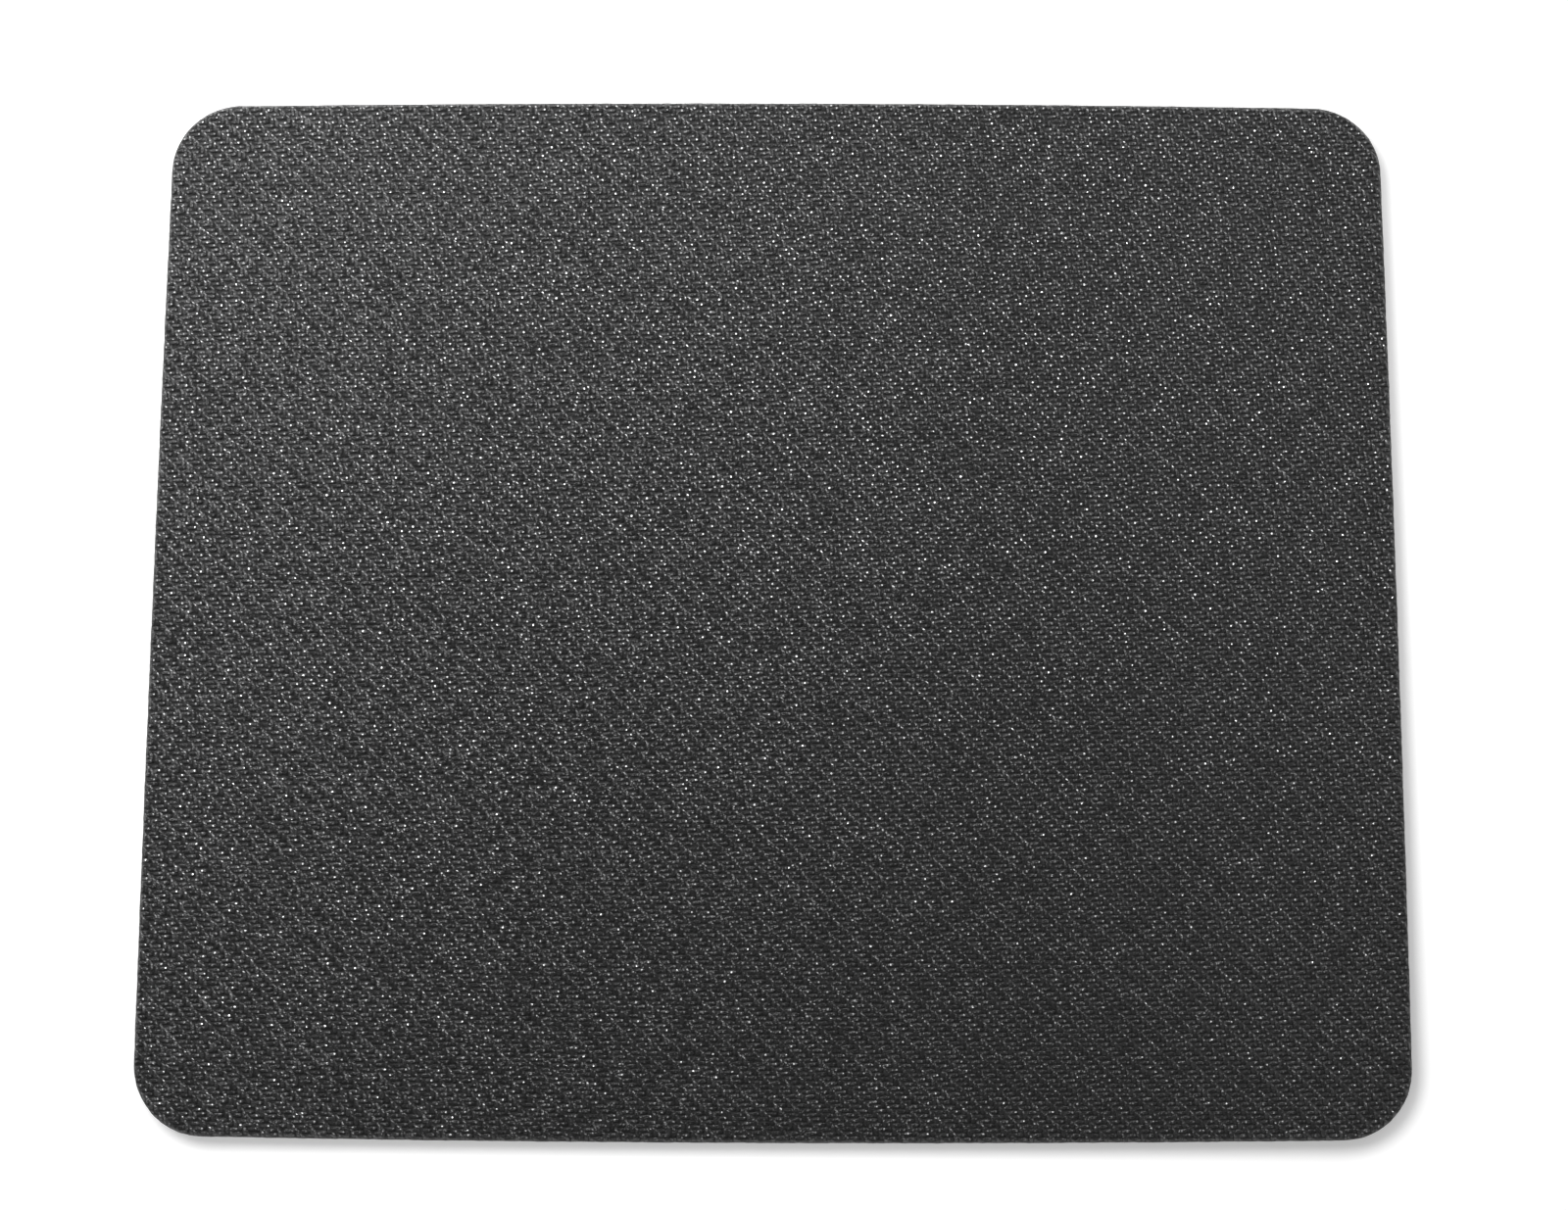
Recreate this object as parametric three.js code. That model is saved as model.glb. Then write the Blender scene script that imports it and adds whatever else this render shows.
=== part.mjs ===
// A mouse pad: five bonded sheets, die-cut in one stroke to a rounded rectangle.
// Millimetres, +Z up. The origin is the centre of the underside, +X runs along the long edges.

import * as THREE from 'three';

// Outline of the cut, seen from above
const PAD_WIDTH = 235;
const PAD_DEPTH = 197.3;
const CORNER_RADIUS = 13.2;
const LONG_EDGE_BOW = 0.8; // outward bow of each long edge at its middle
const SHORT_EDGE_BOW = 0.25; // outward bow of each short edge at its middle

// Thickness of each sheet, from the desk up
const SOLE_THICKNESS = 0.6;
const SOLE_FILM_THICKNESS = 0.1;
const FOAM_THICKNESS = 3.6;
const CLOTH_FILM_THICKNESS = 0.1;
const CLOTH_THICKNESS = 0.6;

// The edge, as the cutting die leaves it
const EDGE_ROLL_WIDTH = 1.3; // breadth of the rolled band along the rim
const EDGE_ROLL_ANGLE = THREE.MathUtils.degToRad(72); // how far round its ellipse the roll goes
const FOAM_ROLL_DROP = 0.5; // how far the foam's rim is pressed down
const CUT_SQUEEZE = 0.5; // share of the cloth's and its film's thickness left at the cut
const FOAM_DRAW_IN = 0.3; // how far the foam's cut side is drawn in at mid height

// Fineness of the facets
const ARC_STEPS = 10;
const ROLL_STEPS = 4;
const SIDE_STEPS = 6;

const QUARTER_TURN = Math.PI / 2;

// Heights of the faces between the sheets, away from the rim
const foamBottom = SOLE_THICKNESS + SOLE_FILM_THICKNESS;
const foamTop = foamBottom + FOAM_THICKNESS;
const clothBottom = foamTop + CLOTH_FILM_THICKNESS;
const clothTop = clothBottom + CLOTH_THICKNESS;

// How far each of those faces is pressed down at the cut
const clothBottomDrop = FOAM_ROLL_DROP + CLOTH_FILM_THICKNESS * (1 - CUT_SQUEEZE);
const clothTopDrop = clothBottomDrop + CLOTH_THICKNESS * (1 - CUT_SQUEEZE);

// A bowed edge is an arc over its chord. This gives half the arc's angle, its radius,
// and the distance from its centre to the chord.
function bowedEdge(halfChord, bow) {
  const halfAngle = 2 * Math.atan(bow / halfChord);
  const radius = halfChord / Math.sin(halfAngle);
  return { halfAngle, radius, chordDistance: radius * Math.cos(halfAngle) };
}

// Points of the outline, counter-clockwise, drawn in evenly by an inset. Bowed edges run smoothly
// into round corners. The second half of the outline is the first half turned by half a turn.
function outlinePoints(inset) {
  const cornerX = PAD_WIDTH / 2 - SHORT_EDGE_BOW - CORNER_RADIUS;
  const cornerY = PAD_DEPTH / 2 - LONG_EDGE_BOW - CORNER_RADIUS;
  const radius = CORNER_RADIUS - inset;
  const right = bowedEdge(cornerY, SHORT_EDGE_BOW);
  const top = bowedEdge(cornerX, LONG_EDGE_BOW);
  const rightEnd = right.halfAngle;
  const topStart = QUARTER_TURN - top.halfAngle;
  const topEnd = QUARTER_TURN + top.halfAngle;
  const leftStart = Math.PI - right.halfAngle;
  const arcs = [
    new THREE.ArcCurve(cornerX - right.chordDistance, 0, right.radius + radius, -rightEnd, rightEnd),
    new THREE.ArcCurve(cornerX, cornerY, radius, rightEnd, topStart),
    new THREE.ArcCurve(0, cornerY - top.chordDistance, top.radius + radius, topStart, topEnd),
    new THREE.ArcCurve(-cornerX, cornerY, radius, topEnd, leftStart),
  ];
  const firstHalf = arcs.flatMap((arc) => arc.getPoints(ARC_STEPS).slice(0, -1));
  const secondHalf = firstHalf.map((point) => point.clone().negate());
  return [...firstHalf, ...secondHalf];
}

// Closed solid through a list of rings, each an outline with an inset and a height. The list starts
// at the flat underside, goes out over the edge and ends at the flat top. Each four-sided facet is
// split from its inner ring to its outer ring, so that two sheets in contact have the same facets.
function loftRings(rings) {
  const outlines = rings.map((ring) => outlinePoints(ring.inset));
  const count = outlines[0].length;
  const positions = outlines.flatMap((outline, level) =>
    outline.flatMap((point) => [point.x, point.y, rings[level].height]));
  const indices = [];
  for (let level = 0; level + 1 < rings.length; level += 1) {
    const startsInner = rings[level].inset > rings[level + 1].inset;
    for (let side = 0; side < count; side += 1) {
      const a = level * count + side;
      const b = level * count + ((side + 1) % count);
      const c = b + count;
      const d = a + count;
      indices.push(...(startsInner ? [a, b, c, a, c, d] : [a, b, d, b, c, d]));
    }
  }
  const topStart = (rings.length - 1) * count;
  for (const [a, b, c] of THREE.ShapeUtils.triangulateShape(outlines[0], [])) {
    indices.push(c, b, a);
  }
  for (const [a, b, c] of THREE.ShapeUtils.triangulateShape(outlines[rings.length - 1], [])) {
    indices.push(topStart + a, topStart + b, topStart + c);
  }
  const geometry = new THREE.BufferGeometry();
  geometry.setAttribute('position', new THREE.Float32BufferAttribute(positions, 3));
  geometry.setIndex(indices);
  geometry.computeVertexNormals();
  return geometry;
}

// Rings of a face that is flat inside and rolls down to the cut, from the flat part outward.
// The roll is part of an ellipse, as wide as the rolled band and as deep as the drop at the cut.
function rolledFace(height, dropAtCut) {
  return Array.from({ length: ROLL_STEPS + 1 }, (_, step) => {
    const angle = (EDGE_ROLL_ANGLE * step) / ROLL_STEPS;
    const outward = Math.sin(angle) / Math.sin(EDGE_ROLL_ANGLE);
    const downward = (1 - Math.cos(angle)) / (1 - Math.cos(EDGE_ROLL_ANGLE));
    return { inset: EDGE_ROLL_WIDTH * (1 - outward), height: height - dropAtCut * downward };
  });
}

// A sheet of even thickness with a straight cut side.
function flatSheet(bottom, top) {
  return loftRings([{ inset: 0, height: bottom }, { inset: 0, height: top }]);
}

// A sheet whose underside and top both roll down to the cut.
function rolledSheet(bottom, bottomDrop, top, topDrop) {
  return loftRings([...rolledFace(bottom, bottomDrop), ...rolledFace(top, topDrop).reverse()]);
}

// The foam: flat underside, a cut side drawn in at mid height, and a rolled top edge.
function foamBlock() {
  const sideTop = foamTop - FOAM_ROLL_DROP;
  const side = Array.from({ length: SIDE_STEPS }, (_, step) => {
    const share = step / SIDE_STEPS;
    const height = THREE.MathUtils.lerp(foamBottom, sideTop, share);
    return { inset: FOAM_DRAW_IN * Math.sin(Math.PI * share), height };
  });
  return loftRings([...side, ...rolledFace(foamTop, FOAM_ROLL_DROP).reverse()]);
}

function sheetMesh(name, geometry, color, roughness) {
  const material = new THREE.MeshStandardMaterial({ color, roughness, metalness: 0 });
  const mesh = new THREE.Mesh(geometry, material);
  mesh.name = name;
  return mesh;
}

const mousePad = new THREE.Group();
mousePad.add(
  sheetMesh('grip_sole', flatSheet(0, SOLE_THICKNESS), '#222223', 0.8),
  sheetMesh('sole_bond_film', flatSheet(SOLE_THICKNESS, foamBottom), '#2b2a28', 0.35),
  sheetMesh('foam_core', foamBlock(), '#1b1b1c', 0.95),
  sheetMesh(
    'cloth_bond_film',
    rolledSheet(foamTop, FOAM_ROLL_DROP, clothBottom, clothBottomDrop),
    '#2b2a28',
    0.35,
  ),
  sheetMesh(
    'cloth_face',
    rolledSheet(clothBottom, clothBottomDrop, clothTop, clothTopDrop),
    '#414246',
    0.7,
  ),
);

export default mousePad;
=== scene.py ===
import math

import bpy
import numpy as np
from mathutils import Matrix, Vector
from mathutils.geometry import delaunay_2d_cdt


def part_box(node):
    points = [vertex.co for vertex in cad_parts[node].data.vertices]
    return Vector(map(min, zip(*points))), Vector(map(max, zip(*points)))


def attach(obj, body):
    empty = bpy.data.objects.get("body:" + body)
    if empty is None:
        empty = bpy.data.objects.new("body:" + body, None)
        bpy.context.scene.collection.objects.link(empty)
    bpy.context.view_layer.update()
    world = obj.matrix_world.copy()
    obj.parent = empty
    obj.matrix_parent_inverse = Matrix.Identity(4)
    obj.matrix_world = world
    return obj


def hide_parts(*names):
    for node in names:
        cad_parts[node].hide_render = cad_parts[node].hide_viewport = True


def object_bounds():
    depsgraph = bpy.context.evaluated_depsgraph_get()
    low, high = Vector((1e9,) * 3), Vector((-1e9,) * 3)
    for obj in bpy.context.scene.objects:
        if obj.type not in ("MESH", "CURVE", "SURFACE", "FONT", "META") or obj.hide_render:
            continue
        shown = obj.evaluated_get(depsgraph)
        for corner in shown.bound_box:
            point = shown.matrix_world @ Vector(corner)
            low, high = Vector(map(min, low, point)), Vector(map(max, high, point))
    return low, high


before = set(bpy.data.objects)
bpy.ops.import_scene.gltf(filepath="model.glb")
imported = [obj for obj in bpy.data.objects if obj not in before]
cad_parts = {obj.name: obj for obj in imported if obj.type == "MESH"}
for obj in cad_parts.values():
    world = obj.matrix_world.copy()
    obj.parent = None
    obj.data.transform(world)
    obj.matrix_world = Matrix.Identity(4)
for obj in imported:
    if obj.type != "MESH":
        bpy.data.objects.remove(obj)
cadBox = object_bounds()
mm = 0.001
print("frame loaded:", sorted(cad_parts))


# The die cut, shared by every sheet: outside size from the frame, the rest as in the solids
cut = {
    "width": cadBox[1].x - cadBox[0].x,
    "depth": cadBox[1].y - cadBox[0].y,
    "cornerRadius": 13.2 * mm,
    "longEdgeBow": 0.8 * mm,
    "shortEdgeBow": 0.25 * mm,
    "rollWidth": 1.3 * mm,            # breadth of the rolled rim
    "rollAngle": math.radians(72),    # how far round its ellipse the roll goes
    "foamDrop": 0.5 * mm,             # how far the die pressed the foam's rim down
    "squeeze": 0.5,                   # share of cloth and film thickness left at the cut
    "drawIn": 0.3 * mm,               # how far the foam's side is drawn in at mid height
}
cornerX = cut["width"] / 2 - cut["shortEdgeBow"] - cut["cornerRadius"]
cornerY = cut["depth"] / 2 - cut["longEdgeBow"] - cut["cornerRadius"]

# Heights of the faces between the sheets, from the frame
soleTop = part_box("grip_sole")[1].z
foamBottom, foamTop = (corner.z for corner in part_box("foam_core"))
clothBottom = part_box("cloth_bond_film")[1].z
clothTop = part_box("cloth_face")[1].z
clothBottomDrop = cut["foamDrop"] + (clothBottom - foamTop) * (1 - cut["squeeze"])
clothTopDrop = clothBottomDrop + (clothTop - clothBottom) * (1 - cut["squeeze"])


# A bowed edge is an arc over its chord: half its angle is twice the arc tangent of bow over half chord,
# and its radius is the half chord over the sine of that
def bowedEdge(halfChord, bow):
    halfAngle = 2 * math.atan(bow / halfChord)
    return halfAngle, halfChord / math.sin(halfAngle)


sideHalf, sideRadius = bowedEdge(cornerY, cut["shortEdgeBow"])
longHalf, longRadius = bowedEdge(cornerX, cut["longEdgeBow"])
sideCentre = cornerX - sideRadius * math.cos(sideHalf)
longCentre = cornerY - longRadius * math.cos(longHalf)


# The cut as a path: bowed side, round corner, and so on, eight arcs end to end.
# Points lie at even steps of length; each has its arc's centre, radius and outward direction.
def cutPath(count):
    quarter = math.pi / 2
    radius = cut["cornerRadius"]
    cornerSweep = quarter - sideHalf - longHalf
    centres = np.array([(sideCentre, 0), (cornerX, cornerY), (0, longCentre), (-cornerX, cornerY)])
    radii = np.array([sideRadius + radius, radius, longRadius + radius, radius])
    starts = np.array([-sideHalf, sideHalf, quarter - longHalf, quarter + longHalf])
    sweeps = np.array([2 * sideHalf, cornerSweep, 2 * longHalf, cornerSweep])
    centres = np.concatenate([centres, -centres])
    radii = np.tile(radii, 2)
    sweeps = np.tile(sweeps, 2)
    starts = np.concatenate([starts, starts + math.pi])
    ends = np.cumsum(radii * sweeps)
    along = np.arange(count) / count * ends[-1]
    arc = np.searchsorted(ends, along, side="right")
    angle = starts[arc] + (along - ends[arc]) / radii[arc] + sweeps[arc]
    outward = np.stack([np.cos(angle), np.sin(angle)], axis=1)
    return centres[arc], radii[arc], outward


# How far a point lies inside the cut, square to the nearest edge: an arc's radius less the distance
# from its centre
def insideBy(x, y):
    absX = np.abs(x)
    absY = np.abs(y)
    side = sideRadius + cut["cornerRadius"] - np.hypot(absX - sideCentre, y)
    long = longRadius + cut["cornerRadius"] - np.hypot(x, absY - longCentre)
    corner = cut["cornerRadius"] - np.hypot(absX - cornerX, absY - cornerY)
    return np.where((absX > cornerX) & (absY > cornerY), corner, np.minimum(side, long))


# Rings of the cut: each row of insets is drawn in from the path and lifted to its height
def ringPoints(path, insets, heights):
    centres, radii, outward = path
    reach = radii[None, :] - np.broadcast_to(insets, (len(insets), len(radii)))
    plan = centres[None, :, :] + reach[:, :, None] * outward[None, :, :]
    lift = np.broadcast_to(heights, reach.shape)[:, :, None]
    return np.concatenate([plan, lift], axis=2)


# Insets and heights of a face that rolls down to the cut along part of an ellipse, from inside out
def rolledRings(height, drop, steps):
    angle = np.linspace(0, cut["rollAngle"], steps + 1)
    inset = cut["rollWidth"] * (1 - np.sin(angle) / math.sin(cut["rollAngle"]))
    fall = drop * (1 - np.cos(angle)) / (1 - math.cos(cut["rollAngle"]))
    return inset[:, None], (height - fall)[:, None]


# Four-cornered faces between each ring and the next
def ringFaces(ringCount, count):
    ring = np.arange(ringCount - 1)[:, None] * count
    side = np.arange(count)[None, :]
    after = (side + 1) % count
    quads = np.stack([ring + side, ring + after, ring + after + count, ring + side + count], axis=2)
    return quads.reshape(-1, 4)


# One flat face over the first ring, seen from below
def underFace(count):
    return np.arange(count)[None, ::-1]


# One flat face over the last ring, seen from above
def topFace(ringCount, count):
    return np.arange((ringCount - 1) * count, ringCount * count)[None, :]


# Triangles over a convex ring and the points inside it, counter-clockwise from above
def fillRing(ring, inner):
    points = np.concatenate([ring, inner])
    order = np.arange(len(ring))
    loop = np.stack([order, np.roll(order, -1)], axis=1)
    insideOnly = 1  # keeps the triangles within the loop
    weld = 1e-9     # points closer than this are one
    made = delaunay_2d_cdt(points.tolist(), loop.tolist(), [], insideOnly, weld)
    source = np.array([ids[0] for ids in made[3]])
    triangles = source[np.array(made[2])]
    a, b, c = (points[triangles[:, corner]] for corner in range(3))
    area = (b[:, 0] - a[:, 0]) * (c[:, 1] - a[:, 1]) - (b[:, 1] - a[:, 1]) * (c[:, 0] - a[:, 0])
    return np.where(area[:, None] > 0, triangles, triangles[:, ::-1])


# Mesh object from one array of points and several arrays of faces, smooth except at sharp folds
def makePiece(name, points, faceBlocks, material, node, sharpAngle=50):
    corners = np.concatenate([block.ravel() for block in faceBlocks]).astype(np.int32)
    sizes = np.concatenate([np.full(len(block), block.shape[1]) for block in faceBlocks]).astype(np.int32)
    mesh = bpy.data.meshes.new(name)
    mesh.vertices.add(len(points))
    mesh.vertices.foreach_set("co", points.astype(np.float32).ravel())
    mesh.loops.add(len(corners))
    mesh.loops.foreach_set("vertex_index", corners)
    mesh.polygons.add(len(sizes))
    mesh.polygons.foreach_set("loop_start", np.cumsum(sizes) - sizes)
    mesh.polygons.foreach_set("loop_total", sizes)
    mesh.update(calc_edges=True)
    mesh.validate()
    mesh.shade_smooth()
    mesh.set_sharp_from_angle(angle=math.radians(sharpAngle))
    mesh.materials.append(material)
    piece = bpy.data.objects.new(name, mesh)
    bpy.context.scene.collection.objects.link(piece)
    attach(piece, "root")
    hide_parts(node)
    print(name, "made:", len(points), "points,", int((sizes - 2).sum()), "triangles")
    return piece


# Soft unevenness along a closed path: sines of seeded phase, summed and divided by the root of their
# number, so mostly between -1 and 1
def pathWaves(count, waveCounts, seed):
    phases = np.random.default_rng(seed).uniform(0, 2 * math.pi, len(waveCounts))
    turn = np.arange(count)[None, :] / count * 2 * math.pi
    waves = np.sin(np.array(waveCounts)[:, None] * turn + phases[:, None])
    return waves.sum(axis=0) / len(waveCounts) ** 0.5


# Shader helpers. A new node with its settings
def addNode(tree, kind, **settings):
    made = tree.nodes.new(kind)
    for key, value in settings.items():
        setattr(made, key, value)
    return made


# A socket is linked, anything else becomes the input's own value
def feed(tree, socket, value):
    if isinstance(value, bpy.types.NodeSocket):
        tree.links.new(value, socket)
    else:
        socket.default_value = value


# One operation on its values
def calc(tree, operation, *values):
    made = addNode(tree, "ShaderNodeMath", operation=operation)
    for socket, value in zip(made.inputs, values):
        feed(tree, socket, value)
    return made.outputs[0]


# A chance value less a half, so that it lies about nought
def centred(tree, value):
    return calc(tree, "SUBTRACT", value, 0.5)


# Root of the sum of two squares
def flatLength(tree, x, y):
    return calc(tree, "SQRT", calc(tree, "MULTIPLY_ADD", x, x, calc(tree, "MULTIPLY", y, y)))


# From the first colour at share 0 to the second at share 1
def mixColours(tree, share, first, second, blend="MIX"):
    made = addNode(tree, "ShaderNodeMix", data_type="RGBA", blend_type=blend)
    feed(tree, made.inputs["Factor"], share)
    feed(tree, made.inputs[6], first)   # the two colours of the node
    feed(tree, made.inputs[7], second)
    return made.outputs[2]


# Smooth step as the value goes from low to high, carried over to the range toLow to toHigh
def easeBetween(tree, value, low, high, toLow=0.0, toHigh=1.0):
    made = addNode(tree, "ShaderNodeMapRange", interpolation_type="SMOOTHSTEP")
    for socket, number in zip(made.inputs, (value, low, high, toLow, toHigh)):
        feed(tree, socket, number)
    return made.outputs[0]


# The three parts of a vector
def splitVector(tree, vector):
    made = addNode(tree, "ShaderNodeSeparateXYZ")
    feed(tree, made.inputs[0], vector)
    return made.outputs


# The three parts of a colour
def splitColour(tree, colour):
    made = addNode(tree, "ShaderNodeSeparateColor")
    feed(tree, made.inputs[0], colour)
    return made.outputs


# A vector from three values
def joinVector(tree, *values):
    made = addNode(tree, "ShaderNodeCombineXYZ")
    for socket, value in zip(made.inputs, values):
        feed(tree, socket, value)
    return made.outputs[0]


# Cloudy noise over a place
def addNoise(tree, vector, scale, detail, dimensions="2D"):
    made = addNode(tree, "ShaderNodeTexNoise", noise_dimensions=dimensions)
    feed(tree, made.inputs["Vector"], vector)
    feed(tree, made.inputs["Scale"], scale)
    feed(tree, made.inputs["Detail"], detail)
    return made.outputs


# Three chances for a label, the same wherever the label is the same
def throwDice(tree, label):
    made = addNode(tree, "ShaderNodeTexWhiteNoise", noise_dimensions="3D")
    feed(tree, made.inputs["Vector"], label)
    return made.outputs["Color"]


# Place on the piece, in its own space
def objectPoint(tree):
    return addNode(tree, "ShaderNodeTexCoord").outputs["Object"]


# Relief in the shading: a height of 1 stands as high as the distance
def addBump(tree, shader, height, distance):
    bump = addNode(tree, "ShaderNodeBump")
    feed(tree, bump.inputs["Height"], height)
    feed(tree, bump.inputs["Distance"], distance)
    feed(tree, bump.inputs["Strength"], 1.0)
    feed(tree, shader.inputs["Normal"], bump.outputs["Normal"])


# A material, its nodes and its one shader
def newMaterial(name):
    material = bpy.data.materials.new(name)
    material.use_nodes = True
    tree = material.node_tree
    return material, tree, tree.nodes["Principled BSDF"]


# A node group with named inputs and outputs
def newGroup(name, inputs, outputs):
    group = bpy.data.node_groups.new(name, "ShaderNodeTree")
    for label, kind in inputs:
        group.interface.new_socket(label, in_out="INPUT", socket_type=kind)
    for label, kind in outputs:
        group.interface.new_socket(label, in_out="OUTPUT", socket_type=kind)
    return group, addNode(group, "NodeGroupInput").outputs, addNode(group, "NodeGroupOutput").inputs


# A node group set in a material, with values for its named inputs
def placeGroup(tree, group, **values):
    made = addNode(tree, "ShaderNodeGroup", node_tree=group)
    for label, value in values.items():
        feed(tree, made.inputs[label], value)
    return made.outputs


# The weave: a 2/2 twill of upright and level threads, a little out of square and crowded at the ends
weave = {
    "pitch": (0.857 * mm, 0.844 * mm),  # between upright threads, between level threads
    "lean": (0.0674, 0.0111),           # slope of the upright threads, of the level threads
    "drift": (-0.081, -0.053),          # change of spacing from one side to the other, per metre
    "crowding": (1.39, 1.01),           # closer spacing towards both ends, per square metre
    "bow": (0.34, 1.00),                # threads bow with the edges, per square metre
    "first": (161.49, 132.82),          # thread counts at the middle of the pad
    "spare": 12,                        # threads worked out beyond the pad
    "solveSteps": 12,
    "proud": 0.035 * mm,                # how far the upright floats stand above the level ones
    "repeat": 4,                        # crossings of one twill step: over two, under two
    # lengths below are in thread counts
    "waveScale": 0.21,                  # of the waves in which the threads wander
    "waveDetail": 1.5,
    "climb": 0.06,                      # how far the level threads climb and fall
    "flank": 4.0,                       # how much steeper a thread's back gets away from its middle
    "hookFrom": (-0.35, -1.05),         # along an upright float, where its hook begins and is full
    "fibres": 2.6,                      # scale of the filaments' unevenness
    "gapBelow": (0.02, -0.12),          # heights between which the threads turn into gaps
    "tiltPower": 3.0,                   # chances to this power: most floats hardly tilt
    "spotThrow": 0.5,                   # another throw of the dice, for the bare spots
    "spotAside": 0.24,
    "spotSize": (0.07, 0.01),           # square of a spot's radius, at its edge and at its full middle
    "scatter": (0.75, 0.26, 0.09),      # of single floats: along, aside and up
    # in the loose and in the orderly part of the weave
    "disorder": (1.30, 0.32),           # times the scatter
    "unrest": (1.05, 0.75),             # times the tilt of single floats
    "rib": (0.0, 0.240),                # how far the twill line stands out
    # one float: its middle, its highest place, how it arches up to that and down again, its round back,
    # and the stretch along it in which a bare spot may lie
    "upright": {"firstOver": 0.5, "top": 0.16, "crestAt": 0.1, "rise": 0.11, "sink": 0.34,
                "roundness": 0.5, "lean": 0.06, "hook": 0.45, "spotFrom": -0.9, "spotSpan": 0.7},
    "level": {"firstOver": 1.5, "top": 0.11, "crestAt": 0.4, "rise": 0.08, "sink": 0.55,
              "roundness": 1.1, "lean": 0.0, "hook": 0.0, "spotFrom": -0.15, "spotSpan": 1.05},
}


# Stretch of the weave at a point: 1, plus drift times the place across, plus crowding times its square,
# plus bow times the square of the place along
def weaveStretch(x, y):
    driftU, driftV = weave["drift"]
    crowdU, crowdV = weave["crowding"]
    bowU, bowV = weave["bow"]
    stretchU = 1 + driftU * x + crowdU * x**2 + bowU * y**2
    stretchV = 1 + driftV * y + crowdV * y**2 + bowV * x**2
    return stretchU, stretchV


# Thread counts at a point: upright threads count to the right, level threads count downwards
def threadCounts(x, y):
    stretchU, stretchV = weaveStretch(x, y)
    upright = weave["first"][0] + (x * stretchU + weave["lean"][0] * y) / weave["pitch"][0]
    level = weave["first"][1] - (y * stretchV + weave["lean"][1] * x) / weave["pitch"][1]
    return upright, level


# Places where the threads cross, by fixed-point steps back from their thread counts
def threadCrossings():
    ends = np.array([-1, 1])
    spanU, spanV = threadCounts(ends * cut["width"] / 2, -ends * cut["depth"] / 2)
    countU = np.arange(math.floor(spanU[0]) - weave["spare"], math.ceil(spanU[1]) + weave["spare"])
    countV = np.arange(math.floor(spanV[0]) - weave["spare"], math.ceil(spanV[1]) + weave["spare"])
    upright, level = (axis.ravel().astype(float) for axis in np.meshgrid(countU, countV))
    acrossX = (upright - weave["first"][0]) * weave["pitch"][0]
    acrossY = (weave["first"][1] - level) * weave["pitch"][1]
    x = acrossX
    y = acrossY
    for step in range(weave["solveSteps"]):
        stretchU, stretchV = weaveStretch(x, y)
        nextX = (acrossX - weave["lean"][0] * y) / stretchU
        y = (acrossY - weave["lean"][1] * x) / stretchV
        x = nextX
    return x, y, upright, level


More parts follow.
